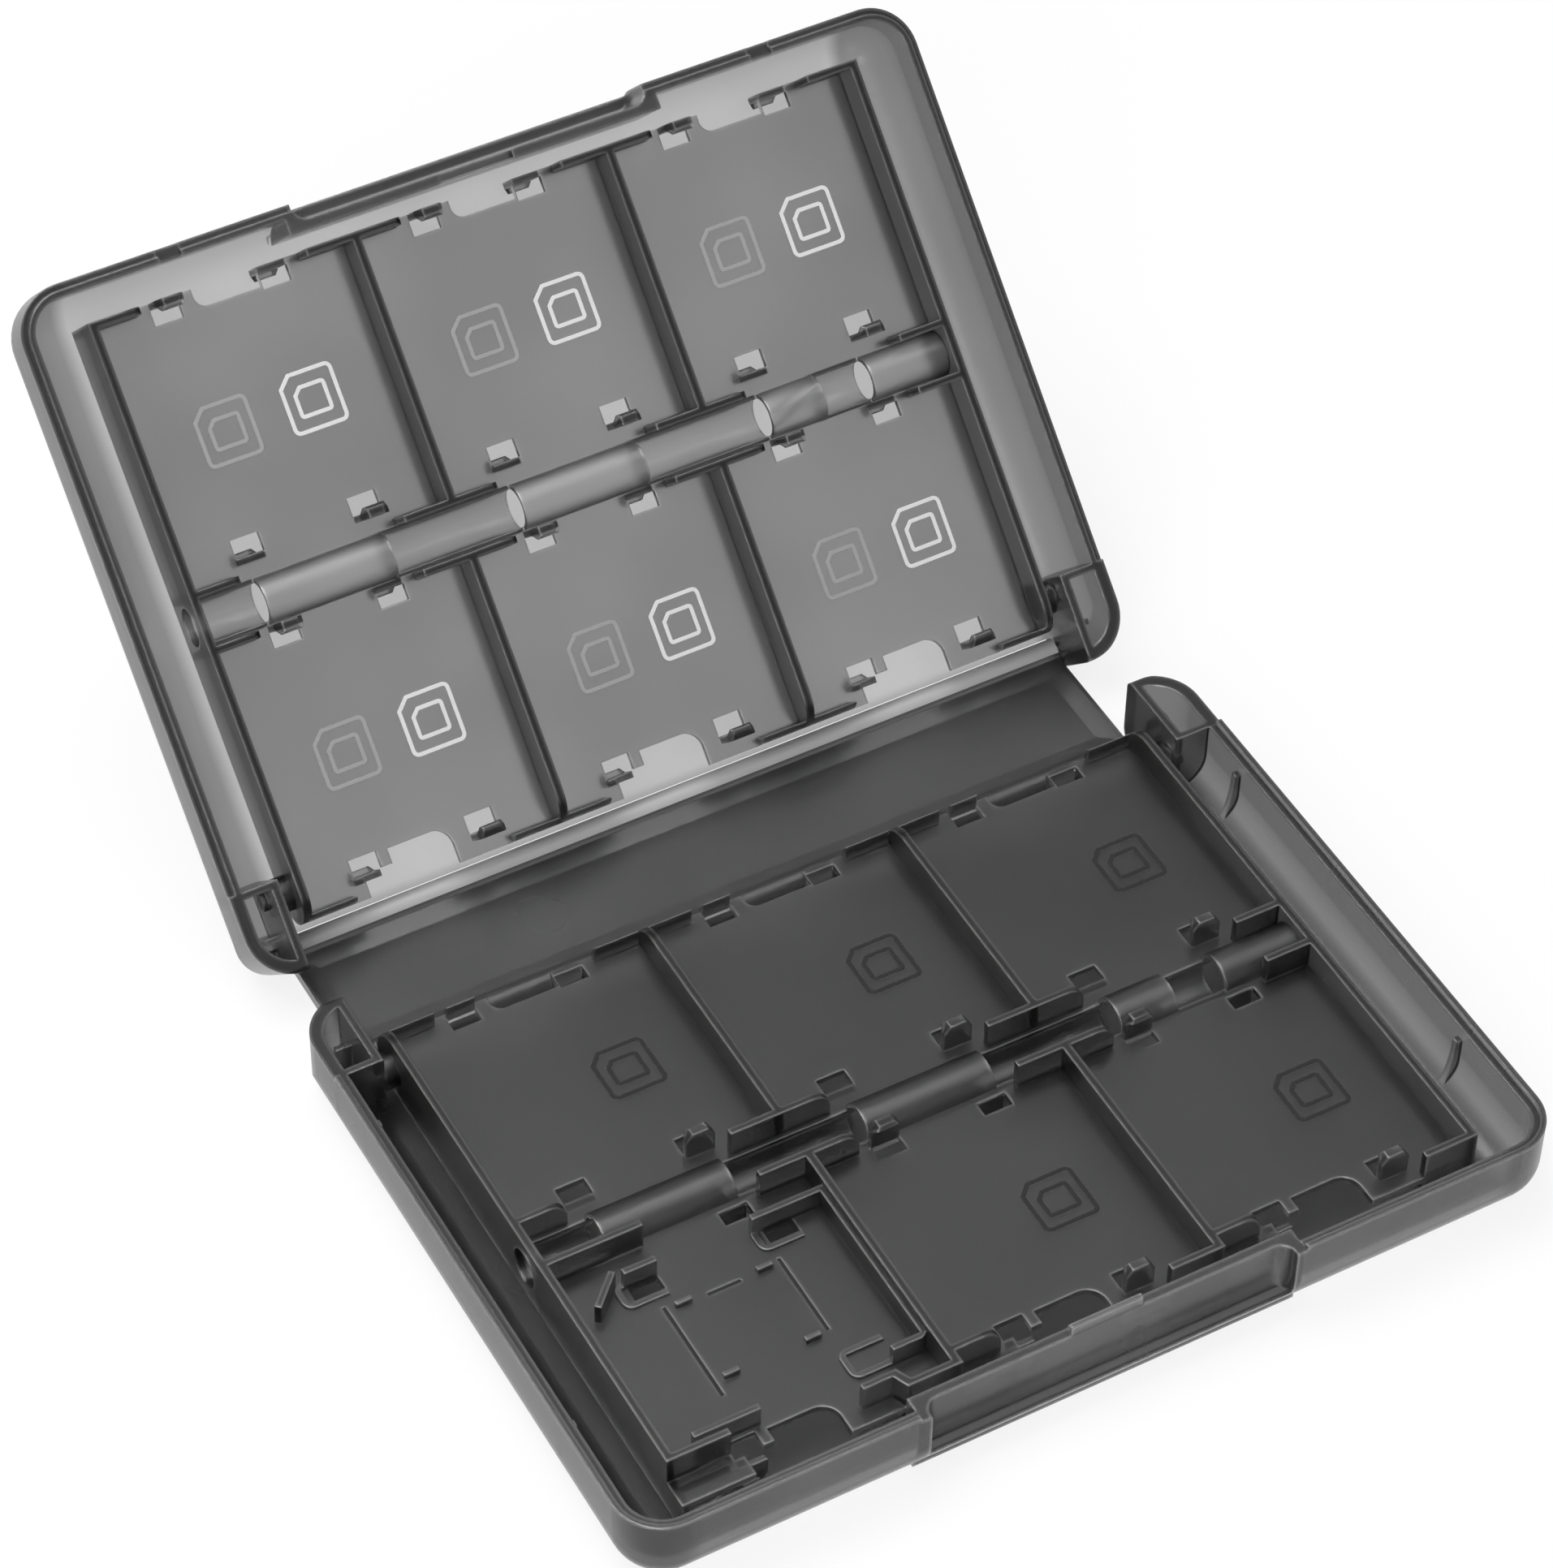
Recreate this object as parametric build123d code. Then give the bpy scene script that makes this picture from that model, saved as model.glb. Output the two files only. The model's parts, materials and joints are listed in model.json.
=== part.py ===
from build123d import *
import math
import os

os.makedirs("parts", exist_ok=True)

# Game card storage case, lying open on a table. Millimetres.
# X runs along the spine, Y from the front lip to the spine, Z up from the table.
# The origin is under the middle of the base, below the axis of its tube.

# Card, and the room that a pocket gives it
CARD_WIDTH = 35.0
CARD_THICK = 3.8
CARD_SIDE_GAP = 0.3
CARD_TOP_GAP = 0.3
POCKET_LENGTH = 37.4

# Page: one moulding with pockets on both faces and a tube across its middle
COLUMNS = 3
PAGE_WALL = 1.2
PAGE_FLOOR = 0.9
TUBE_OD = 6.4
TUBE_BORE = 5.3
# Where the halves of the tube change sides, as shares of a column, and in the last column
TUBE_ARCH = (0.25, 0.745)
TUBE_LAST_ARCH = (0.25, 0.475, 0.67)

# Corner stubs and card clips of each pocket, measured from the left wall
STUB_THICK = 1.0
STUB_LEFT = 7.1
STUB_RIGHT = 7.0
STUB_ROUND = 2.5
CLIP_WIDTH = 4.0
CLIP_THICK = 0.9
CLIP_NOSE = 0.7
CLIP_NOSE_HEIGHT = 1.1
CLIP_RAIL = 3.0
CLIP_CORNER = (0.9, 1.2)
LOWER_CLIP_X = 26.7
UPPER_CLIP_X = 10.8
LOWER_WINDOW = 2.5
UPPER_WINDOW = 2.1

# Finger notches in the two long edges of a page, set from the clips beside them
TOP_NOTCH_GAPS = (2.0, 0.1)
TOP_NOTCH_DEPTH = 2.6
TOP_NOTCH_ROUND = 1.6
LOW_NOTCH_BEFORE_CLIP = 0.7
LOW_NOTCH_WIDTH = 12.9
LOW_NOTCH_DEPTH = 5.2
LOW_NOTCH_ROUND = 2.6
LOW_NOTCH_ARM = (4.2, 2.0)

# Memory card place in one pocket of the base page
MEMORY_LENGTH = 32.0
MEMORY_WIDTH = 24.0
MEMORY_GAP = 0.25
MEMORY_LEFT = 3.0
MEMORY_TOP = 9.1
MEMORY_WALL = 0.9
MEMORY_WALL_HEIGHT = 3.1
MEMORY_ROUND = 1.4
MEMORY_BAR_LEFT = 1.3
MEMORY_BAR = 9.0
MEMORY_TOP_RETURN = 9.5
MEMORY_LOW_RETURN = 4.2
MEMORY_STUB = 13.6
MEMORY_CORNER_BACK = 3.9
MEMORY_JOG_LENGTH = 4.9
# Low cups that the card rests on: width and depth, how far each stands from the card's left end
MEMORY_CUP = (5.9, 4.2)
MEMORY_CUP_HEIGHT = 0.5
MEMORY_CUPS_FROM_LEFT = (4.0, 22.7)
MEMORY_LAST_CUP = (23.0, 6.2, 4.7)
MEMORY_RIB_LENGTH = 5.7
MEMORY_RIB_PLACE = (5.3, 10.0)
# Smaller card: four nubs, a groove at each end and a short line above it
MICRO_LENGTH = 15.0
MICRO_WIDTH = 11.0
MICRO_GAP = 0.2
MICRO_BELOW_TOP = 5.6
MICRO_GROOVE = (0.45, 0.3)
MICRO_GROOVE_OVERRUN = 2.6
MICRO_LINE = 4.6
MICRO_NUB = (2.2, 0.7, 0.9)
MICRO_NUB_INSET = 1.0

# Half shells, set out from the page that each one holds
SHELL_FRONT_GAP = 6.0
SHELL_SIDE_GAP = 9.0
SHELL_FLOOR = 1.6
SHELL_WALL = 1.8
PLAN_RADIUS = 6.6
EDGE_RADIUS = 6.2
REAR_RUN = 1.0
LIP_HEIGHT = 0.6
LIP_WIDTH = 0.8
LIP_GAP = 0.1
PAGE_GAP = 0.2
PAGE_TOP_GAP = 1.0
PAGE_END_GAP = 1.08

# Ears: the hollow boxes beside the spine that carry all the pins
EAR_PAGE_GAP = 2.2
EAR_WALL = 1.2
EAR_PARTITION = 1.0
EAR_AHEAD_OF_PIVOT = 2.45
EAR_RIB = (2.2, 0.8, 6.4)
EAR_TOP_GAP = 0.2
EAR_TOP_ROUND = 1.0

# Thumb recess and snap in the front edge of each half
RECESS_WIDTH = 51.0
RECESS_DEPTH = 2.5
RECESS_LEDGE = 4.0
RECESS_WALL = 1.4
RECESS_ROUND = 2.0
SNAP_WIDTH = 10.0
SNAP_THICK = 0.7
SNAP_HEIGHT = 1.5
SNAP_BEAD = 0.2
SNAP_GAP = 0.25
SNAP_ROOT = 1.0
SNAP_BEAD_BELOW = 0.4
RIM_SLOT_FROM_SIDE = 22.0
RIM_SLOT_WIDTH = 3.0

# Gussets that stiffen the side walls
GUSSET_FROM_TUBE = 26.0
GUSSET_THICK = 1.0
GUSSET_REACH = 2.6
GUSSET_TOP_REACH = 0.8
GUSSET_BELOW_RIM = 1.8
GUSSET_BOW = 0.5

# Spine and pins
SPINE_THICK = 1.6
HINGE_INSET = 1.6
HINGE_TO_BACK = 2.6
SPINE_SIDE_GAP = 0.2
SPINE_EDGE_GAP = 0.12
SPINE_RIM = 0.5
SPINE_SLOPE = 2.6
SPINE_FIELD_DEPTH = 0.6
SPINE_PIN_RADIUS = 0.8
PAGE_PIN_RADIUS = 1.3
PIN_GAP = 0.05
PIN_OVERRUN = 0.6
PAGE_BOSS_RADIUS = 2.4

# Pose in which the case is shown: the lid leans back past upright
LID_ANGLE = 43.9

# Derived sizes
POCKET_WIDTH = CARD_WIDTH + 2 * CARD_SIDE_GAP
POCKET_DEPTH = CARD_THICK + CARD_TOP_GAP
PITCH = POCKET_WIDTH + PAGE_WALL
PAGE_WIDTH = COLUMNS * PITCH + PAGE_WALL
PAGE_THICK = PAGE_FLOOR + 2 * POCKET_DEPTH
HALF_THICK = PAGE_THICK / 2
HALF_FLOOR = PAGE_FLOOR / 2
MIRRORED_LOWER_X = PITCH - LOWER_CLIP_X
MIRRORED_UPPER_X = PITCH - UPPER_CLIP_X
TUBE_HALF = TUBE_OD / 2
TUBE_MIDDLE = (TUBE_OD + TUBE_BORE) / 4
PAGE_HALF = TUBE_HALF + POCKET_LENGTH
PIVOT_Y = PAGE_HALF - HALF_THICK
PAGE_Z = SHELL_FLOOR + PAGE_GAP + HALF_THICK
SHELL_HEIGHT = SHELL_FLOOR + PAGE_GAP + PAGE_THICK + PAGE_TOP_GAP
CASE_HEIGHT = 2 * SHELL_HEIGHT
FLOOR_END = PAGE_HALF + PAGE_END_GAP
HINGE_Y = FLOOR_END + SPINE_EDGE_GAP + HINGE_INSET
HINGE_SPAN = CASE_HEIGHT - 2 * HINGE_INSET
LID_HINGE_Y = HINGE_Y + HINGE_SPAN
EAR_INNER = PAGE_WIDTH / 2 + EAR_PAGE_GAP
EAR_FRONT = PIVOT_Y - EAR_AHEAD_OF_PIVOT
SPINE_HALF = EAR_INNER - SPINE_SIDE_GAP
PIN_END = EAR_INNER + EAR_WALL + PIN_OVERRUN
HALF_WIDTH = PAGE_WIDTH / 2 + SHELL_SIDE_GAP
SHELL_FRONT = PAGE_HALF + SHELL_FRONT_GAP
SHELL_BACK = HINGE_Y + HINGE_TO_BACK
INNER_WIDTH = HALF_WIDTH - SHELL_WALL
INNER_FRONT = SHELL_FRONT - SHELL_WALL
RECESS_FACE = SHELL_FRONT - RECESS_DEPTH

# The ears' lower back corners are rounded so that the opened lid just rests on the table
LEAN_SIN = math.sin(math.radians(LID_ANGLE))
LEAN_COS = math.cos(math.radians(LID_ANGLE))
EAR_CORNER = (HINGE_TO_BACK * LEAN_SIN + HINGE_INSET * (LEAN_COS - 1)) / (LEAN_SIN + LEAN_COS - 1)


def block(x0, x1, y0, y1, z0, z1):
    """Box between two corners."""
    centre = Location(((x0 + x1) / 2, (y0 + y1) / 2, (z0 + z1) / 2))
    return centre * Box(x1 - x0, y1 - y0, z1 - z0)


def rod(radius, x0, x1, y, z):
    """Cylinder along X."""
    return Location(((x0 + x1) / 2, y, z)) * Rotation(0, 90, 0) * Cylinder(radius, x1 - x0)


def cell_left(column):
    """X of the centre of a pocket's left wall."""
    return -COLUMNS * PITCH / 2 + column * PITCH


def page_profile(pin_side):
    """Side view of a page: square at its free end, round about its pins."""
    free = -pin_side * PAGE_HALF
    low, high = sorted((free, pin_side * PIVOT_Y))
    slab = block(-PAGE_WIDTH / 2, PAGE_WIDTH / 2, low, high, -HALF_THICK, HALF_THICK)
    return slab + rod(HALF_THICK, -PAGE_WIDTH / 2, PAGE_WIDTH / 2, pin_side * PIVOT_Y, 0)


def stub_left(x, y0, y1):
    """Short end wall at a pocket's left corner, with a rounded free end."""
    outline = Rectangle(STUB_LEFT, PAGE_THICK, align=(Align.MIN, Align.CENTER))
    free_end = outline.vertices().group_by(Axis.X)[-1]
    outline = fillet(free_end, STUB_ROUND)
    wall = extrude(Plane.XZ * outline, y1 - y0)
    return Location((x, y1, 0)) * wall


def clip(x, stem_y, toward, face):
    """Card clip: a tab on the floor with a nose over the card; face is +1 front, -1 back."""
    points = [
        (0, 0),
        (CLIP_THICK, 0),
        (CLIP_THICK, POCKET_DEPTH - CLIP_NOSE_HEIGHT),
        (CLIP_THICK + CLIP_NOSE, POCKET_DEPTH - CLIP_NOSE_HEIGHT / 2),
        (CLIP_THICK + CLIP_NOSE / 2, POCKET_DEPTH),
        (0, POCKET_DEPTH),
    ]
    placed = [(stem_y + toward * a, face * (HALF_FLOOR + b)) for a, b in points]
    outline = make_face(Polyline(*placed, close=True))
    tab = extrude(Plane.YZ * outline, CLIP_WIDTH / 2, both=True)
    side, down = CLIP_CORNER
    half = CLIP_WIDTH / 2
    for end in (-1, 1):
        corner = [(half - side, POCKET_DEPTH), (half, POCKET_DEPTH - down), (half + 1, POCKET_DEPTH + 1)]
        cut = make_face(Polyline(*[(end * a, face * (HALF_FLOOR + b)) for a, b in corner], close=True))
        tab -= Location((0, stem_y, 0)) * extrude(Plane.XZ * cut, CLIP_RAIL, both=True)
    return Location((x, 0, 0)) * tab


def tube():
    """Half shells of the tube, which lie by turns on the front and on the back."""
    turns = [0]
    for column in range(COLUMNS - 1):
        turns += [column + share for share in TUBE_ARCH]
    turns += [COLUMNS - 1 + share for share in TUBE_LAST_ARCH]
    turns.append(COLUMNS)
    ring = None
    for index, (start, stop) in enumerate(zip(turns, turns[1:])):
        x0 = cell_left(start)
        x1 = cell_left(stop)
        shell = rod(TUBE_HALF, x0, x1, 0, 0) - rod(TUBE_BORE / 2, x0, x1, 0, 0)
        if index % 2:
            keep = block(x0, x1, -TUBE_OD, TUBE_OD, -HALF_FLOOR, TUBE_OD)
        else:
            keep = block(x0, x1, -TUBE_OD, TUBE_OD, -TUBE_OD, HALF_FLOOR)
        half = shell & keep
        ring = half if ring is None else ring + half
    return ring


def pocket_details(column, row, memory, stub_back):
    """Stubs and clips of one pocket, and the holes under its clips; stub_back sets its low left stub in."""
    left = cell_left(column)
    low = -PAGE_HALF if row == 0 else TUBE_HALF
    high = low + POCKET_LENGTH
    right = left + PITCH
    added = []
    for y0, y1, back in ((low, low + STUB_THICK, stub_back), (high - STUB_THICK, high, 0)):
        added.append(stub_left(left, y0 + back, y1 + back))
        added.append(block(right - STUB_RIGHT, right, y0, y1, -HALF_THICK, HALF_THICK))
    if not memory:
        added.append(clip(left + LOWER_CLIP_X, low + CLIP_RAIL - CLIP_THICK, 1, 1))
        added.append(clip(left + UPPER_CLIP_X, high, -1, 1))
    added.append(clip(left + MIRRORED_LOWER_X, low + CLIP_RAIL - CLIP_THICK, 1, -1))
    added.append(clip(left + MIRRORED_UPPER_X, high, -1, -1))
    holes = []
    for x in (MIRRORED_LOWER_X,) if memory else (LOWER_CLIP_X, MIRRORED_LOWER_X):
        x0 = left + x - CLIP_WIDTH / 2
        y0 = low + CLIP_RAIL
        holes.append(block(x0, x0 + CLIP_WIDTH, y0, y0 + LOWER_WINDOW, -HALF_FLOOR, HALF_FLOOR))
    for x in (MIRRORED_UPPER_X,) if memory else (UPPER_CLIP_X, MIRRORED_UPPER_X):
        x0 = left + x - CLIP_WIDTH / 2
        y1 = high - CLIP_THICK
        holes.append(block(x0, x0 + CLIP_WIDTH, y1 - UPPER_WINDOW, y1, -HALF_FLOOR, HALF_FLOOR))
    return added, holes


def notch(column, row):
    """Finger notch in the outer edge of a pocket."""
    left = cell_left(column)
    if row == 1:
        before, after = TOP_NOTCH_GAPS
        x0 = UPPER_CLIP_X + CLIP_WIDTH / 2 + before
        x1 = MIRRORED_UPPER_X - CLIP_WIDTH / 2 - after
        outline = Rectangle(x1 - x0, TOP_NOTCH_DEPTH, align=(Align.MIN, Align.MAX))
        corner = outline.vertices().group_by(Axis.Y)[0].sort_by(Axis.X)[0]
        outline = fillet(corner, TOP_NOTCH_ROUND)
        place = Location((left + x0, PAGE_HALF, -PAGE_FLOOR))
    else:
        x0 = MIRRORED_LOWER_X - LOW_NOTCH_BEFORE_CLIP
        arm_width, arm_length = LOW_NOTCH_ARM
        outline = Rectangle(LOW_NOTCH_WIDTH, LOW_NOTCH_DEPTH, align=(Align.MIN, Align.MIN))
        corner = outline.vertices().group_by(Axis.Y)[-1].sort_by(Axis.X)[-1]
        outline = fillet(corner, LOW_NOTCH_ROUND)
        arm = Rectangle(arm_width, arm_length, align=(Align.MIN, Align.MAX))
        outline = outline - Location((0, LOW_NOTCH_DEPTH, 0)) * arm
        place = Location((left + x0, -PAGE_HALF, -PAGE_FLOOR))
    return place * extrude(outline, 2 * PAGE_FLOOR)


def cup(x0, x1, y0, y1, z0, z1):
    """Low wall bent round three sides of a hole, open to the right, with rounded left corners."""
    outline = Rectangle(x1 - x0, y1 - y0, align=(Align.MIN, Align.MIN))
    outline = fillet(outline.vertices().group_by(Axis.X)[0], MEMORY_ROUND)
    wall = Location((x0, y0, z0)) * extrude(outline, z1 - z0)
    return wall - block(x0 + MEMORY_WALL, x1 + 1, y0 + MEMORY_WALL, y1 - MEMORY_WALL, z0, z1)


def memory_place():
    """Low walls that hold a memory card across a pocket, and the nubs of a smaller one."""
    left = cell_left(0)
    wall = MEMORY_WALL
    z0 = HALF_FLOOR
    z1 = HALF_FLOOR + MEMORY_WALL_HEIGHT
    x0 = left + MEMORY_LEFT
    x1 = x0 + MEMORY_LENGTH + 2 * MEMORY_GAP
    y1 = -MEMORY_TOP
    y0 = y1 - MEMORY_WIDTH - 2 * MEMORY_GAP
    rail = block(x1 - MEMORY_TOP_RETURN, x1 + wall, y0 - wall, y1 + wall, z0, z1)
    rail = fillet(rail.edges().filter_by(Axis.Z).group_by(Axis.X)[-1].sort_by(Axis.Y)[0], MEMORY_ROUND)
    rail -= block(x1 - MEMORY_TOP_RETURN - 1, x1, y0, y1, z0, z1)
    rail -= block(x1 - MEMORY_TOP_RETURN - 1, x1 - MEMORY_LOW_RETURN, y0 - wall - 1, y0, z0, z1)
    bar_left = x0 + MEMORY_BAR_LEFT
    rib_x, rib_y = MEMORY_RIB_PLACE
    rib_place = Location((left + rib_x, -rib_y, (z0 + z1) / 2), (0, 0, 45))
    low = -PAGE_HALF + CLIP_RAIL - CLIP_THICK
    jog_right = left + PITCH - STUB_RIGHT
    jog_left = jog_right - MEMORY_JOG_LENGTH
    jog = [
        (jog_left, low),
        (jog_right - wall, low),
        (jog_right, -PAGE_HALF),
        (jog_right + wall, -PAGE_HALF),
        (jog_right + wall, -PAGE_HALF + STUB_THICK),
        (jog_right, low + CLIP_THICK),
        (jog_left, low + CLIP_THICK),
    ]
    walls = [
        rail,
        block(bar_left, bar_left + MEMORY_BAR, y0 - wall, y0, z0, z1),
        block(left, left + MEMORY_STUB, -TUBE_HALF - STUB_THICK, -TUBE_HALF, z0, HALF_THICK),
        rib_place * Box(MEMORY_RIB_LENGTH, wall, z1 - z0),
        Location((0, 0, z0)) * extrude(make_face(Polyline(*jog, close=True)), POCKET_DEPTH),
    ]
    cup_width, cup_depth = MEMORY_CUP
    holes = []
    for start in MEMORY_CUPS_FROM_LEFT:
        cup_x = x0 + start
        top = y1 + wall
        walls.append(cup(cup_x, cup_x + cup_width, top - cup_depth, top, z0, z0 + MEMORY_CUP_HEIGHT))
        walls.append(block(cup_x + MEMORY_ROUND, cup_x + cup_width, y1, top, z0, z1))
        inner = (cup_x + 2 * wall, cup_x + cup_width, top - cup_depth + wall, top - wall)
        holes.append(block(*inner, -HALF_FLOOR, HALF_FLOOR))
    start, last_width, last_depth = MEMORY_LAST_CUP
    cup_x = x0 + start
    bottom = y0 - wall
    walls.append(cup(cup_x, cup_x + last_width, bottom, bottom + last_depth, z0, z0 + MEMORY_CUP_HEIGHT))

    groove_width, groove_depth = MICRO_GROOVE
    nub_width, nub_thick, nub_height = MICRO_NUB
    middle = (x0 + x1) / 2
    micro_half = MICRO_LENGTH / 2 + MICRO_GAP
    micro_y1 = y1 - MICRO_BELOW_TOP
    micro_y0 = micro_y1 - MICRO_WIDTH - 2 * MICRO_GAP
    groove_z = HALF_FLOOR - groove_depth
    line_y0 = micro_y0 - MICRO_GROOVE_OVERRUN
    for side in (-1, 1):
        groove = sorted((middle + side * micro_half, middle + side * (micro_half + groove_width)))
        end_y = line_y0 if side < 0 else micro_y0
        holes.append(block(*groove, end_y, micro_y1 + 1, groove_z, HALF_FLOOR))
        nub_end = micro_half - MICRO_NUB_INSET
        nub = sorted((middle + side * nub_end, middle + side * (nub_end - nub_width)))
        walls.append(block(*nub, micro_y1, micro_y1 + nub_thick, 0, HALF_FLOOR + nub_height))
        walls.append(block(*nub, micro_y0 - nub_thick, micro_y0, 0, HALF_FLOOR + nub_height))
    line = (middle - MICRO_LINE / 2, middle + MICRO_LINE / 2)
    holes.append(block(*line, micro_y1, micro_y1 + groove_width, groove_z, HALF_FLOOR))
    return walls, holes


def page(pin_side, memory):
    """One page about its own middle; pin_side is +1 or -1 along Y."""
    edge = PAGE_WIDTH / 2
    body = block(-edge, edge, -PAGE_HALF, PAGE_HALF, -HALF_FLOOR, HALF_FLOOR)
    body -= block(-edge, edge, -TUBE_MIDDLE, TUBE_MIDDLE, -HALF_FLOOR, HALF_FLOOR)
    walls = []
    for column in range(COLUMNS + 1):
        x = cell_left(column)
        x0 = x - PAGE_WALL / 2
        x1 = x + PAGE_WALL / 2
        if column in (0, COLUMNS):
            walls.append(block(x0, x1, -PAGE_HALF, PAGE_HALF, -HALF_THICK, HALF_THICK))
        else:
            walls.append(block(x0, x1, -PAGE_HALF, -TUBE_HALF, -HALF_THICK, HALF_THICK))
            walls.append(block(x0, x1, TUBE_HALF, PAGE_HALF, -HALF_THICK, HALF_THICK))
    holes = []
    for column in range(COLUMNS):
        for row in (0, 1):
            here = memory and column == 0 and row == 0
            stub_back = CLIP_RAIL - STUB_THICK if memory and row == 0 else 0
            added, cut = pocket_details(column, row, here, stub_back)
            walls += added
            holes += cut
            holes.append(notch(column, row))
    if memory:
        added, cut = memory_place()
        walls += added
        holes += cut
        corner_x = cell_left(0) + STUB_LEFT + STUB_THICK
        corner_y = -PAGE_HALF + MEMORY_CORNER_BACK
        holes.append(block(-edge - 1, corner_x, -PAGE_HALF - 1, corner_y, HALF_FLOOR, HALF_THICK + 1))
        walls.append(block(-edge, corner_x, corner_y, corner_y + STUB_THICK, HALF_FLOOR, HALF_THICK))
    body = body + walls + tube()
    body = body - holes
    body = body & page_profile(pin_side)
    body -= rod(TUBE_BORE / 2, -edge - 1, -edge + PAGE_WALL, 0, 0)
    pin_y = pin_side * PIVOT_Y
    for side in (-1, 1):
        boss = sorted((side * (edge - PAGE_WALL / 2), side * SPINE_HALF))
        pin = sorted((side * SPINE_HALF, side * PIN_END))
        body += rod(PAGE_BOSS_RADIUS, boss[0], boss[1], pin_y, 0)
        body += rod(PAGE_PIN_RADIUS, pin[0], pin[1], pin_y, 0)
    return body


def tub(inset, floor, height):
    """Rounded tub outline of a half shell, drawn in by inset, from floor to height."""
    width = HALF_WIDTH - inset
    front = SHELL_FRONT - inset
    back = SHELL_BACK - inset
    plan_radius = PLAN_RADIUS - inset
    edge_radius = EDGE_RADIUS - floor
    split = SHELL_BACK - PLAN_RADIUS - REAR_RUN
    main = block(-width, width, -front, split, floor, height)
    uprights = main.edges().filter_by(Axis.Z).group_by(Axis.Y)[0]
    main = fillet(uprights, plan_radius)
    low = main.faces().sort_by(Axis.Z)[0].edges()
    main = fillet([e for e in low if e.center().Y < split - 1e-3], edge_radius)
    rear = block(-width, width, split, back, floor, height)
    corners = rear.edges().filter_by(Axis.Z).group_by(Axis.Y)[-1]
    rear = fillet(corners, plan_radius)
    outline = Rectangle(2 * width, 2 * height, align=(Align.CENTER, Align.MIN))
    outline = fillet(outline.vertices().group_by(Axis.Y)[0], edge_radius)
    section = Location((0, back + 1, floor)) * extrude(Plane.XZ * outline, back + 1 - split)
    rear = rear & section
    if floor == 0:
        profile = block(-width, width, split, back, 0, height)
        bottom = profile.edges().filter_by(Axis.X).group_by(Axis.Z)[0].sort_by(Axis.Y)[-1]
        rear = rear & fillet(bottom, EAR_CORNER)
    return main + rear


def gusset(side, y):
    """Curved fin between a side wall and the floor."""
    top = SHELL_HEIGHT - GUSSET_BELOW_RIM
    wall_x = INNER_WIDTH + SHELL_WALL / 2
    high_x = INNER_WIDTH - GUSSET_TOP_REACH
    low_x = INNER_WIDTH - GUSSET_REACH
    under = SHELL_FLOOR / 2
    bow = ((high_x + low_x) / 2 + GUSSET_BOW, (top + under) / 2)
    edges = [
        Polyline((low_x, under), (wall_x, under), (wall_x, top), (high_x, top)),
        ThreePointArc((high_x, top), bow, (low_x, under)),
    ]
    fin = extrude(Plane.XZ * make_face(edges), GUSSET_THICK / 2, both=True)
    fin = Location((0, y, 0)) * fin
    return fin if side > 0 else mirror(fin, about=Plane.YZ)


def half_shell(is_lid):
    """Base or lid tub in the base's own place, with the spine side towards +Y."""
    rim = SHELL_HEIGHT + LIP_HEIGHT
    outer = tub(0, 0, rim)
    cavity = tub(SHELL_WALL, SHELL_FLOOR, rim + 1)
    partitions = []
    rib_reach, rib_thick, rib_height = EAR_RIB
    for side in (-1, 1):
        inner = sorted((side * EAR_INNER, side * (EAR_INNER + EAR_WALL)))
        full = sorted((side * EAR_INNER, side * HALF_WIDTH))
        rib = sorted((side * (EAR_INNER + EAR_WALL), side * (EAR_INNER + EAR_WALL + rib_reach)))
        partitions.append(block(inner[0], inner[1], EAR_FRONT, SHELL_BACK, 0, rim + 2))
        partitions.append(block(full[0], full[1], EAR_FRONT, EAR_FRONT + EAR_PARTITION, 0, rim + 2))
        rib_top = SHELL_FLOOR + rib_height
        partitions.append(block(rib[0], rib[1], PAGE_HALF, PAGE_HALF + rib_thick, 0, rib_top))
    cavity = cavity - partitions
    body = outer - cavity
    body -= block(-EAR_INNER, EAR_INNER, FLOOR_END, SHELL_BACK + 1, -1, rim + 1)
    if not is_lid:
        for side in (-1, 1):
            for y in (-GUSSET_FROM_TUBE, GUSSET_FROM_TUBE):
                body += gusset(side, y) & outer

    recess_half = RECESS_WIDTH / 2
    backing = recess_half + RECESS_WALL
    body += block(-backing, backing, -INNER_FRONT, -RECESS_FACE + RECESS_WALL, SHELL_FLOOR / 2, rim)
    recess = block(-recess_half, recess_half, -SHELL_FRONT - 5, -RECESS_FACE, RECESS_LEDGE, rim + 5)
    inner_corners = recess.edges().filter_by(Axis.Z).group_by(Axis.Y)[-1]
    body -= fillet(inner_corners, RECESS_ROUND)

    body = rim_form(body, is_lid, rim)
    holes = []
    for side in (-1, 1):
        span = sorted((side * (EAR_INNER - 1), side * (PIN_END + PIN_GAP)))
        holes.append(rod(SPINE_PIN_RADIUS + PIN_GAP, span[0], span[1], HINGE_Y, HINGE_INSET))
        holes.append(rod(PAGE_PIN_RADIUS + PIN_GAP, span[0], span[1], PIVOT_Y, PAGE_Z))
    body -= holes
    if is_lid:
        body = mirror(body, about=Plane.XZ)
    return body


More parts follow.
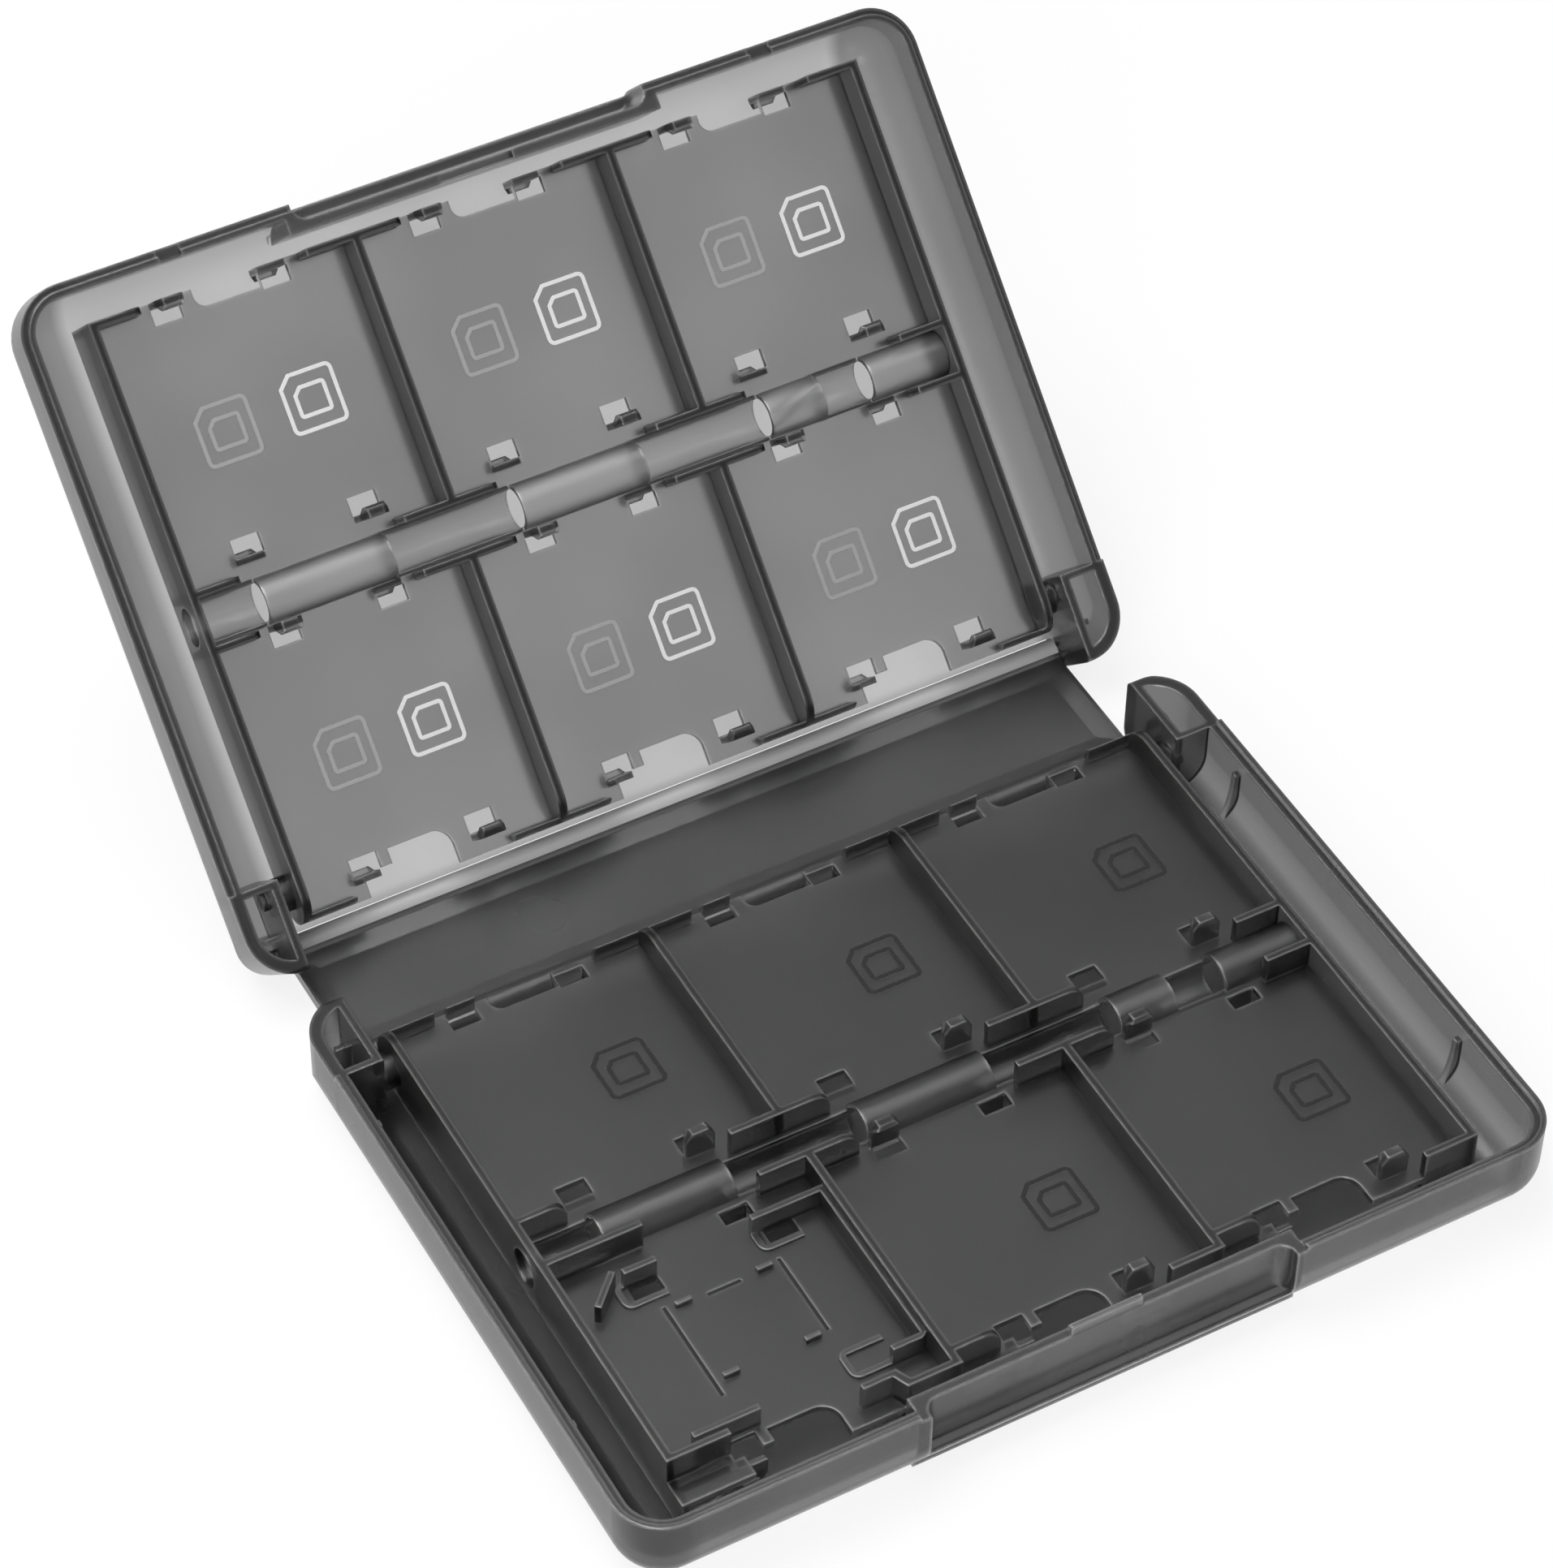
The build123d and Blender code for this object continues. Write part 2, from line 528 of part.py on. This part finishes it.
def rim_form(body, is_lid, rim):
    """Stepped rim: an outer lip on the base, and the step that takes it on the lid."""
    wide = HALF_WIDTH + 1
    recess_half = RECESS_WIDTH / 2 + RECESS_WALL
    parting = SHELL_HEIGHT
    ear_top = parting - EAR_TOP_GAP / 2
    cuts = [
        block(-wide, wide, EAR_FRONT, SHELL_BACK + 1, ear_top, rim + 1),
        block(-recess_half, recess_half, -SHELL_FRONT - 1, -FLOOR_END, parting - LIP_GAP / 2, rim + 1),
    ]
    round_y = SHELL_BACK - EAR_TOP_ROUND
    round_z = ear_top - EAR_TOP_ROUND
    ear_edge = block(-wide, wide, round_y, SHELL_BACK + 1, round_z, rim + 1)
    cuts.append(ear_edge - rod(EAR_TOP_ROUND, -wide, wide, round_y, round_z))
    band = block(-wide, wide, -SHELL_FRONT - 1, EAR_FRONT, 0, rim + 1)
    if is_lid:
        inner_line = tub(LIP_WIDTH + LIP_GAP, 0, rim + 2)
        step = band & block(-wide, wide, -wide, wide, parting - LIP_HEIGHT - LIP_GAP, rim + 1)
        cuts.append(step - inner_line)
        cuts.append(block(-wide, wide, -SHELL_FRONT - 1, EAR_FRONT, parting - LIP_GAP / 2, rim + 1))
        half_snap = SNAP_WIDTH / 2 + SNAP_GAP
        depth = SNAP_THICK + SNAP_BEAD + SNAP_GAP
        cuts.append(
            block(
                -half_snap,
                half_snap,
                -RECESS_FACE - 1,
                -RECESS_FACE + depth,
                parting - SNAP_HEIGHT - SNAP_GAP,
                rim,
            )
        )
        slot_x = HALF_WIDTH - RIM_SLOT_FROM_SIDE
        for x in (-slot_x, slot_x):
            x0 = x - RIM_SLOT_WIDTH / 2
            x1 = x + RIM_SLOT_WIDTH / 2
            cuts.append(block(x0, x1, -SHELL_FRONT, -INNER_FRONT + 1, parting - 2 * LIP_HEIGHT, rim))
        return body - cuts
    inner_line = tub(LIP_WIDTH, 0, rim + 2)
    cuts.append(inner_line & (band & block(-wide, wide, -wide, wide, parting, rim + 1)))
    body = body - cuts
    tongue_y = -RECESS_FACE + PIN_GAP
    tongue = block(
        -SNAP_WIDTH / 2,
        SNAP_WIDTH / 2,
        tongue_y,
        tongue_y + SNAP_THICK,
        parting - SNAP_ROOT,
        parting + SNAP_HEIGHT,
    )
    bead_z = parting + SNAP_HEIGHT - SNAP_BEAD_BELOW
    bead = rod(SNAP_BEAD, -SNAP_WIDTH / 2, SNAP_WIDTH / 2, tongue_y + SNAP_THICK, bead_z)
    return body + tongue + bead


def spine():
    """Back panel, a shallow tray between its two round hinge edges, lying flat behind the base."""
    half = SPINE_HALF
    body = block(-half, half, HINGE_Y, LID_HINGE_Y, 0, SPINE_THICK)
    for y in (HINGE_Y, LID_HINGE_Y):
        body += rod(HINGE_INSET, -half, half, y, HINGE_INSET)
    middle = (HINGE_Y + LID_HINGE_Y) / 2
    width = 2 * (half - SPINE_RIM)
    length = HINGE_SPAN - 2 * HINGE_INSET
    rim = Location((0, middle, SPINE_THICK)) * Rectangle(width, length)
    field_z = SPINE_THICK - SPINE_FIELD_DEPTH
    field = Location((0, middle, field_z)) * Rectangle(width - 2 * SPINE_SLOPE, length - 2 * SPINE_SLOPE)
    body -= loft([field.faces()[0], rim.faces()[0]], ruled=True)
    for side in (-1, 1):
        span = sorted((side * (half - PAGE_WALL), side * PIN_END))
        for y in (HINGE_Y, LID_HINGE_Y):
            body += rod(SPINE_PIN_RADIUS, span[0], span[1], y, HINGE_INSET)
    return body


def in_lid(shape):
    """Carry a shape from the lid's own place to the opened lid."""
    flat = Location((0, LID_HINGE_Y + HINGE_Y, 0)) * shape
    about = Location((0, LID_HINGE_Y, HINGE_INSET))
    return about * Rotation(LID_ANGLE, 0, 0) * about.inverse() * flat


nodes = {
    "base_shell": half_shell(False),
    "lid_shell": in_lid(half_shell(True)),
    "spine_panel": spine(),
    "base_page": Location((0, 0, PAGE_Z)) * page(1, True),
    "lid_page": in_lid(Location((0, 0, PAGE_Z)) * page(-1, False)),
}

for name, shape in nodes.items():
    export_step(shape, f"parts/{name}.step")
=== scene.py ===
import json
import math
import bpy
import bmesh
from mathutils import Matrix, Vector


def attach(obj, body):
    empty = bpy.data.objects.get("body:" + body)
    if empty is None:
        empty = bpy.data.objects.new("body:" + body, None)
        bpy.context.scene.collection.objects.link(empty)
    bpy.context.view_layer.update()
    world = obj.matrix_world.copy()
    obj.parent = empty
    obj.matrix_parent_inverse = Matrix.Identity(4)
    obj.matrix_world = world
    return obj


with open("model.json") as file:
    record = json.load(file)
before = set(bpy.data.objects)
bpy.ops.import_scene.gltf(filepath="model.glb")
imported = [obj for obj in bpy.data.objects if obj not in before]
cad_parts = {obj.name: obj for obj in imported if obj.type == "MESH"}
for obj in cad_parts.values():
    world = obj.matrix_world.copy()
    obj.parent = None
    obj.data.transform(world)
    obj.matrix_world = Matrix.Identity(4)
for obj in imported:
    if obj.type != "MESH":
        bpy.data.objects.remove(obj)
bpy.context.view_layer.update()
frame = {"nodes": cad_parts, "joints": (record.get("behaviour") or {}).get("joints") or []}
nodes = frame["nodes"]

# Half shells and spine: smoked polystyrene, injection moulded in polished and lightly blasted tools. It is
# tinted right through, so a thin floor lets much light pass and a deep wall goes nearly black. The pins of
# the spine snap into the shells' ears, and all three keep their CAD shape.
SMOKE = "#e7e7e7"
CLEAR = "#f4f4f4"
BLASTED = "#b4b4b4"
# Sizes and places in this file are in metres unless they are named or noted as mm.
MM = 1000
# Beyond the pages the shells are blasted on both faces and thicker, which makes them darker from here out.
MARGIN_FROM = (0.0558, 0.0578)
# The melt's flow leaves slow changes of shade and gloss, 45 to the metre.
FLOW_PER_METRE = 45.0
FLOW_SHADE = 0.15
FLOW_GLOSS = 0.04
# Outer edges are rounded by 0.3 mm and come polished from the tool, as far as 0.5 mm in. The polish sets in
# where plastic fills less than 0.9 of that reach and is full at 0.6.
EDGE_ROUND = 0.0003
EDGE_REACH = 0.0005
EDGE_FILL = (0.9, 0.6)


def linear(code):
    """Linear RGBA of an sRGB hex colour."""
    parts = [int(code[i:i + 2], 16) / 255 for i in (1, 3, 5)]
    return [c / 12.92 if c <= 0.04045 else ((c + 0.055) / 1.055) ** 2.4 for c in parts] + [1.0]


def add(tree, kind, settings=None, links=None):
    """Add a shader node with its settings, socket values and incoming links."""
    node = tree.nodes.new(kind)
    for name, value in (settings or {}).items():
        if isinstance(name, int) or name in node.inputs:
            node.inputs[name].default_value = value
        else:
            setattr(node, name, value)
    for name, source in (links or {}).items():
        tree.links.new(source, node.inputs[name])
    return node


def new_material(name):
    """An empty node material."""
    material = bpy.data.materials.new(name)
    material.use_nodes = True
    material.node_tree.nodes.clear()
    return material


def smoked_plastic(name, margin, density, grain_mm, relief_mm, gloss, clear):
    """Tinted translucent moulding; margin is its colour beyond the pages and clear its see-through share.
    Its outer edges, found by how little plastic lies within reach, are polished and catch the light.
    A blasted grain is really about 0.05 mm wide and is drawn at grain_mm, as coarse as it needs to show."""
    material = new_material(name)
    tree = material.node_tree
    place = add(tree, "ShaderNodeTexCoord")
    grain = add(tree, "ShaderNodeTexNoise", {"Scale": MM / grain_mm, "Detail": 2.0},
                {"Vector": place.outputs["Object"]})
    flow = add(tree, "ShaderNodeTexNoise", {"Scale": FLOW_PER_METRE, "Detail": 1.0},
               {"Vector": place.outputs["Object"]})
    edge = add(tree, "ShaderNodeBevel", {"samples": 4, "Radius": EDGE_ROUND})
    bump = add(tree, "ShaderNodeBump", {"Strength": 0.5, "Distance": relief_mm / MM},
               {"Height": grain.outputs["Fac"], "Normal": edge.outputs["Normal"]})
    across = add(tree, "ShaderNodeSeparateXYZ", {}, {"Vector": place.outputs["Object"]})
    outward = add(tree, "ShaderNodeMath", {"operation": "ABSOLUTE"}, {0: across.outputs["X"]})
    beyond = add(tree, "ShaderNodeMapRange", {"From Min": MARGIN_FROM[0], "From Max": MARGIN_FROM[1]},
                 {"Value": outward.outputs["Value"]})
    tone = add(tree, "ShaderNodeMixRGB", {"Color1": linear(CLEAR), "Color2": linear(margin)},
               {"Fac": beyond.outputs["Result"]})
    shade = add(tree, "ShaderNodeMapRange", {"To Min": 1 - FLOW_SHADE, "To Max": 1 + FLOW_SHADE},
                {"Value": flow.outputs["Fac"]})
    colour = add(tree, "ShaderNodeVectorMath", {"operation": "SCALE"},
                 {0: tone.outputs["Color"], "Scale": shade.outputs["Result"]})
    rough = add(tree, "ShaderNodeMapRange", {"To Min": gloss - FLOW_GLOSS, "To Max": gloss + FLOW_GLOSS},
                {"Value": flow.outputs["Fac"]})
    solid = add(tree, "ShaderNodeAmbientOcclusion",
                {"samples": 4, "inside": True, "only_local": True, "Distance": EDGE_REACH})
    polish = add(tree, "ShaderNodeMapRange", {"From Min": EDGE_FILL[0], "From Max": EDGE_FILL[1]},
                 {"Value": solid.outputs["AO"]})
    surface = add(tree, "ShaderNodeBsdfPrincipled",
                  {"IOR": 1.5, "Transmission Weight": clear, "Coat IOR": 2.2, "Coat Roughness": 0.2},
                  {"Base Color": colour.outputs["Vector"], "Roughness": rough.outputs["Result"],
                   "Normal": bump.outputs["Normal"], "Coat Weight": polish.outputs["Result"],
                   "Coat Normal": edge.outputs["Normal"]})
    depth = add(tree, "ShaderNodeVolumeAbsorption", {"Color": linear(SMOKE), "Density": density})
    add(tree, "ShaderNodeOutputMaterial", {},
        {"Surface": surface.outputs["BSDF"], "Volume": depth.outputs["Volume"]})
    return material


def dress(names, material):
    """Give CAD nodes one material."""
    for name in names:
        nodes[name].data.materials.clear()
        nodes[name].data.materials.append(material)


dress(("base_shell", "lid_shell", "spine_panel"),
      smoked_plastic("smoked_polystyrene_moulded_shell", BLASTED, density=1620.0,
                     grain_mm=1.2, relief_mm=0.006, gloss=0.26, clear=0.975))

# Pages: the same polystyrene, moulded thinner and with more tint, so that a floor of 0.9 mm comes out as dark
# as a shell's. Their tools are blasted finer, which takes the mirror off the pocket floors. Each page snaps
# into its shell by two moulded pins and keeps its CAD shape.
dress(("base_page", "lid_page"),
      smoked_plastic("smoked_polystyrene_moulded_page", CLEAR, density=3300.0,
                     grain_mm=0.9, relief_mm=0.005, gloss=0.32, clear=1.0))

# Hinge edge of the spine beside the lid: polystyrene, moulded hollow with the spine, so its wall is thin and
# light comes through it. That light is painted: a skin 0.05 mm thick lies over the top of that round edge in
# an opaque pale grey, painted light in place of the light coming through.
joints = {joint["name"]: joint for joint in frame["joints"]}
LID_HINGE = joints["lid_hinge"]["pos_m"][1:]
BAND_PAINTED_BACKLIGHT = "#a6a6a6"
BAND_HALF_LENGTH = 0.05775
BAND_RADII = (0.00161, 0.00166)
# Degrees from +Y towards +Z
BAND_ARC = (60, 150)
BAND_STEPS = 16
THIN_WALL_GLOSS_SPREAD = 0.05


def plastic_painted_light_and_shade(name, tint, vary, grain_mm, gloss, ior=1.55):
    """Opaque plastic in a painted colour: pale ones are painted light from behind, dark ones painted shade;
    vary is its lightness change either way.
    """
    material = new_material(name)
    tree = material.node_tree
    place = add(tree, "ShaderNodeTexCoord")
    flow = add(tree, "ShaderNodeTexNoise", {"Scale": MM / grain_mm, "Detail": 2.0},
               {"Vector": place.outputs["Object"]})
    shade = add(tree, "ShaderNodeMapRange", {"To Min": 1 - vary, "To Max": 1 + vary},
                {"Value": flow.outputs["Fac"]})
    colour = add(tree, "ShaderNodeVectorMath", {"operation": "SCALE", 0: linear(tint)[:3]},
                 {"Scale": shade.outputs["Result"]})
    rough = add(tree, "ShaderNodeMapRange",
                {"To Min": gloss - THIN_WALL_GLOSS_SPREAD, "To Max": gloss + THIN_WALL_GLOSS_SPREAD},
                {"Value": flow.outputs["Fac"]})
    surface = add(tree, "ShaderNodeBsdfPrincipled", {"IOR": ior},
                  {"Base Color": colour.outputs["Vector"], "Roughness": rough.outputs["Result"]})
    add(tree, "ShaderNodeOutputMaterial", {}, {"Surface": surface.outputs["BSDF"]})
    return material


def new_object(name, data):
    """Put a mesh, lamp or camera into the scene."""
    made = bpy.data.objects.new(name, data)
    bpy.context.scene.collection.objects.link(made)
    return made


def new_piece(name, shape, material):
    """Turn a bmesh into an object of the scene."""
    mesh = bpy.data.meshes.new(name)
    shape.to_mesh(mesh)
    shape.free()
    mesh.materials.append(material)
    return new_object(name, mesh)


def join_rings(shape, near, far):
    """Faces between two rings of four vertices."""
    for k in range(4):
        shape.faces.new((near[k], near[(k + 1) % 4], far[(k + 1) % 4], far[k]))


shape = bmesh.new()
inner, outer = BAND_RADII
section = ((-BAND_HALF_LENGTH, inner), (-BAND_HALF_LENGTH, outer),
           (BAND_HALF_LENGTH, outer), (BAND_HALF_LENGTH, inner))
rings = []
for step in range(BAND_STEPS + 1):
    angle = math.radians(BAND_ARC[0] + (BAND_ARC[1] - BAND_ARC[0]) * step / BAND_STEPS)
    rings.append([shape.verts.new((x, LID_HINGE[0] + radius * math.cos(angle),
                                   LID_HINGE[1] + radius * math.sin(angle))) for x, radius in section])
for near, far in zip(rings, rings[1:]):
    join_rings(shape, near, far)
shape.faces.new(rings[0])
shape.faces.new(rings[-1])
bmesh.ops.recalc_face_normals(shape, faces=shape.faces)
# The band's pale grey is painted light, standing in for light that comes through the thin wall.
backlight_painted_wall = plastic_painted_light_and_shade("thin_hinge_wall_painted_backlight", BAND_PAINTED_BACKLIGHT, vary=0.06, grain_mm=6.0, gloss=0.4)
band = new_piece("lid_hinge_band", shape, backlight_painted_wall)
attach(band, "spine")

# Pocket marks: a generic mark moulded into each pocket floor, two square rings with one corner cut. Such deep
# lines leave the floor thin. They are drawn as low ridges in an opaque painted colour: pale on the lid,
# painted light from behind them, and dark on the base, painted shade.
PAINTED_BACKLIGHT_LINE = "#c8c8c8"
PAINTED_SHADE_LINE = "#2b2b2b"
# In mm: each ring's width, height, corner radius and cut, then the line's foot, crest and height
MARK_RINGS = ((7.3, 7.6, 0.7, 1.5), (4.2, 3.8, 0.35, 0.9))
MARK_LINE = (0.56, 0.46, 0.05)
CORNER_STEPS = 4
# Pockets side by side and their pitch, the marks' place across one, their rows and the floors' height
COLUMNS = 3
PITCH = 0.0368
MARK_X = 0.0251
LID_ROWS = (0.0223, -0.0218)
BASE_ROWS = (0.0218, -0.02195)
FLOOR_FACE = 0.00681
# The lid page is the base page's twin, moved from the base's hinge to the lid's. The lid lies flat at its
# hinge's back limit, so it leans by that angle here.
BASE_HINGE = joints["spine_hinge"]["pos_m"][1:]
LID_LEAN = -joints["lid_hinge"]["range_deg"][0]


def ring_path(width, height, corner, cut):
    """Points in mm of a rectangle with three rounded corners and its upper left corner cut."""
    half_x, half_y = width / 2, height / 2
    path = [(-half_x, half_y - cut), (-half_x + cut, half_y)]
    for turn, (sx, sy) in enumerate(((1, 1), (1, -1), (-1, -1))):
        for step in range(CORNER_STEPS + 1):
            angle = math.radians(90 - 90 * turn - 90 / CORNER_STEPS * step)
            path.append((sx * (half_x - corner) + corner * math.cos(angle),
                         sy * (half_y - corner) + corner * math.sin(angle)))
    return path


def add_line(shape, path, place):
    """Add a low ridge of trapezoid section along a closed path in mm."""
    foot, crest, height = MARK_LINE
    section = ((-foot / 2, 0), (-crest / 2, height), (crest / 2, height), (foot / 2, 0))
    rows = []
    for i, point in enumerate(path):
        here = Vector(point)
        before = (here - Vector(path[i - 1])).normalized()
        after = (Vector(path[(i + 1) % len(path)]) - here).normalized()
        along = (before + after).normalized()
        side = Vector((-along.y, along.x)) / along.dot(before)
        row = []
        for off, up in section:
            spot = here + side * off
            row.append(shape.verts.new(place @ Vector((spot.x / MM, spot.y / MM, up / MM))))
        rows.append(row)
    for i, row in enumerate(rows):
        join_rings(shape, rows[i - 1], row)


def pocket_marks(name, body, places, material):
    """All the marks of one page as one piece."""
    shape = bmesh.new()
    for place in places:
        for ring in MARK_RINGS:
            add_line(shape, ring_path(*ring), place)
    bmesh.ops.recalc_face_normals(shape, faces=shape.faces)
    marks = new_piece(name, shape, material)
    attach(marks, body)


def floor_place(left, across, y):
    """A place on the face of a pocket floor, in the base's axes."""
    return Matrix.Translation((left + across, y, FLOOR_FACE))


leaned = (Matrix.Translation((0, *LID_HINGE)) @ Matrix.Rotation(math.radians(LID_LEAN), 4, "X")
          @ Matrix.Translation((0, BASE_HINGE[0], -BASE_HINGE[1])))
lefts = [PITCH * (column - COLUMNS / 2) for column in range(COLUMNS)]
lid_places = [leaned @ floor_place(left, MARK_X, y) for left in lefts for y in LID_ROWS]
# At the front left the base has the memory card's place, which has no mark
base_places = [floor_place(left, MARK_X, BASE_ROWS[0]) for left in lefts]
base_places += [floor_place(left, MARK_X, BASE_ROWS[1]) for left in lefts[1:]]
# Pale lines on the lid are painted light from behind; dark lines on the base are painted shade.
backlight_painted_line = plastic_painted_light_and_shade("thin_line_painted_backlight", PAINTED_BACKLIGHT_LINE, vary=0.04, grain_mm=3.0, gloss=0.5)
shade_painted_line = plastic_painted_light_and_shade("thin_line_painted_shade", PAINTED_SHADE_LINE,
                         vary=0.1, grain_mm=3.0, gloss=0.6, ior=1.2)
pocket_marks("lid_pocket_marks", "lid", lid_places, backlight_painted_line)
pocket_marks("base_pocket_marks", "base", base_places, shade_painted_line)

# Back marks: the same rings, moulded into the pockets on the back of the lid's page. They show through its
# floor, nearer the left edge of each pocket. They are drawn as opaque lines on the floor's face, painted a
# little paler than the plastic round them: painted light for the light that shows through them.
PAINTED_SHOW_THROUGH_LINE = "#8a8a8a"
BACK_MARK_X = 0.0129
BACK_ROWS = (0.022, -0.022)
back_places = [leaned @ floor_place(left, BACK_MARK_X, y) for left in lefts for y in BACK_ROWS]
# These lines are painted light, standing in for what shows through the floor from the back.
show_through_painted_line = plastic_painted_light_and_shade("line_painted_light_seen_through", PAINTED_SHOW_THROUGH_LINE,
                          vary=0.05, grain_mm=3.0, gloss=0.5)
pocket_marks("lid_back_marks", "lid", back_places, show_through_painted_line)

# Lines of the smaller card's place: three grooves moulded into the memory card's pocket floor, as thin as the
# marks' lines. Each holds an opaque strip 0.44 mm wide and 0.28 mm deep, painted as dark as the marks' lines:
# painted shade in the grooves.
# In mm: both ends across, then both ends from front to back
GROOVE_LINES = (
    (-44.095, -43.655, -28.69, -13.71),
    (-28.245, -27.805, -26.09, -13.71),
    (-38.24, -33.66, -14.695, -14.255),
)
GROOVE_MIDDLE_Z = 0.00665
GROOVE_STRIP = 0.00028
shape = bmesh.new()
for x0, x1, y0, y1 in GROOVE_LINES:
    strip = Matrix.Diagonal(((x1 - x0) / MM, (y1 - y0) / MM, GROOVE_STRIP, 1))
    centre = Matrix.Translation(((x0 + x1) / 2 / MM, (y0 + y1) / 2 / MM, GROOVE_MIDDLE_Z))
    bmesh.ops.create_cube(shape, size=1.0, matrix=centre @ strip)
# The strips are painted shade in the grooves.
grooves = new_piece("memory_place_lines", shape, shade_painted_line)
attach(grooves, "base")

# Table: a sweep of white paper, just under the case. Seen straight or in a gloss it is white, apart from a
# share that keeps the case's shadow. Looked at through plastic that lies on it, it shows a painted shadow: a
# dark glow where no light gets in, which pales to a white glow over the first 3.5 mm of clearance.
TABLE_REACH = 3.0
TABLE_DROP = 0.0001
PALES_FROM = 0.0003
PALES_TO = 0.0035
WHITE_SHARE = 0.8
PAPER = "#f0f0f0"
PAINTED_SHADOW_UNDER_CASE = "#202020"
white_colour = linear("#ffffff")
table_mesh = bpy.data.meshes.new("table")
table_corners = [(x * TABLE_REACH, y * TABLE_REACH, 0) for x, y in ((-1, -1), (1, -1), (1, 1), (-1, 1))]
table_mesh.from_pydata(table_corners, [], [(0, 1, 2, 3)])
table = new_object("table", table_mesh)
table.location.z = -TABLE_DROP
paper = new_material("white_paper_sweep")
tree = paper.node_tree
path = add(tree, "ShaderNodeLightPath")
matt = add(tree, "ShaderNodeBsdfDiffuse", {"Color": linear(PAPER)})
white = add(tree, "ShaderNodeEmission", {"Color": white_colour, "Strength": 1.0})
# Painted shadow: a dark glow seen through plastic that lies on the table.
painted_shadow_glow = add(tree, "ShaderNodeEmission", {"Color": linear(PAINTED_SHADOW_UNDER_CASE), "Strength": 1.0})
away = add(tree, "ShaderNodeMapRange", {"From Min": PALES_FROM, "From Max": PALES_TO},
           {"Value": path.outputs["Ray Length"]})
through = add(tree, "ShaderNodeMixShader", {},
              {"Fac": away.outputs["Result"], 1: painted_shadow_glow.outputs["Emission"], 2: white.outputs["Emission"]})
straight = add(tree, "ShaderNodeMath", {"operation": "MULTIPLY", 1: WHITE_SHARE},
               {0: path.outputs["Is Camera Ray"]})
seen = add(tree, "ShaderNodeMath", {"operation": "MAXIMUM"},
           {0: straight.outputs["Value"], 1: path.outputs["Is Glossy Ray"]})
plain = add(tree, "ShaderNodeMixShader", {},
            {"Fac": seen.outputs["Value"], 1: matt.outputs["BSDF"], 2: white.outputs["Emission"]})
look = add(tree, "ShaderNodeMixShader", {},
           {"Fac": path.outputs["Is Transmission Ray"], 1: plain.outputs["Shader"],
            2: through.outputs["Shader"]})
add(tree, "ShaderNodeOutputMaterial", {}, {"Surface": look.outputs["Shader"]})
table_mesh.materials.append(paper)

# Light: a pale studio round the case and two large soft lamps. Straight on and through the plastic the
# studio is white, and a gloss shows a dimmer room with a bright ceiling.
ROOM_STRENGTH = 0.5
# How far a ray climbs per metre of its way where the ceiling begins and where it is at its brightest
CEILING_FROM, CEILING_TO = 0.78, 0.94
GLOSS_ROOM, GLOSS_CEILING = 0.6, 3.0
world = bpy.data.worlds.new("studio")
bpy.context.scene.world = world
world.use_nodes = True
tree = world.node_tree
tree.nodes.clear()
path = add(tree, "ShaderNodeLightPath")
room = add(tree, "ShaderNodeBackground", {"Color": white_colour, "Strength": ROOM_STRENGTH})
white = add(tree, "ShaderNodeBackground", {"Color": white_colour, "Strength": 1.0})
way = add(tree, "ShaderNodeTexCoord")
height = add(tree, "ShaderNodeSeparateXYZ", {}, {"Vector": way.outputs["Generated"]})
sheen = add(tree, "ShaderNodeMapRange",
            {"From Min": CEILING_FROM, "From Max": CEILING_TO,
             "To Min": GLOSS_ROOM, "To Max": GLOSS_CEILING},
            {"Value": height.outputs["Z"]})
mirrored = add(tree, "ShaderNodeBackground", {"Color": white_colour},
               {"Strength": sheen.outputs["Result"]})
direct = add(tree, "ShaderNodeMath", {"operation": "MAXIMUM"},
             {0: path.outputs["Is Camera Ray"], 1: path.outputs["Is Transmission Ray"]})
seen = add(tree, "ShaderNodeMixShader", {},
           {"Fac": direct.outputs["Value"], 1: room.outputs["Background"],
            2: white.outputs["Background"]})
mix = add(tree, "ShaderNodeMixShader", {},
          {"Fac": path.outputs["Is Glossy Ray"], 1: seen.outputs["Shader"],
           2: mirrored.outputs["Background"]})
add(tree, "ShaderNodeOutputWorld", {}, {"Surface": mix.outputs["Shader"]})

LAMP_AIM = Vector((0.0, 0.04, 0.02))


def soft_lamp(name, place, size, power):
    """Large square softbox that points at the case."""
    data = bpy.data.lights.new(name, "AREA")
    data.shape = "SQUARE"
    data.size = size
    data.energy = power
    lamp = new_object(name, data)
    lamp.location = place
    lamp.rotation_euler = (LAMP_AIM - Vector(place)).to_track_quat("-Z", "Y").to_euler()


soft_lamp("overhead_softbox", place=(-0.25, 0.35, 1.1), size=0.8, power=9.0)
soft_lamp("front_softbox", place=(-0.7, -0.8, 0.6), size=0.7, power=8.0)

# Camera: the photograph's place and angle, found from the corners and the pocket pitch. It looks at a point
# on the table and is rolled a little, in degrees and anticlockwise as seen from behind it.
CAMERA_PLACE = Vector((-0.232805, -0.370067, 0.529660))
CAMERA_AIM = Vector((0.013236, 0.061226, 0.0))
CAMERA_ROLL = 1.0427
CAMERA_LENS = 126.171
camera_data = bpy.data.cameras.new("camera")
camera_data.sensor_width = 36.0
camera_data.sensor_fit = "HORIZONTAL"
camera_data.lens = CAMERA_LENS
camera_data.clip_start = 0.01
camera = new_object("camera", camera_data)
facing = (CAMERA_AIM - CAMERA_PLACE).to_track_quat("-Z", "Y").to_matrix().to_4x4()
roll = Matrix.Rotation(math.radians(CAMERA_ROLL), 4, "Z")
camera.matrix_world = Matrix.Translation(CAMERA_PLACE) @ facing @ roll
bpy.context.scene.camera = camera
bpy.context.scene.view_settings.view_transform = "Standard"
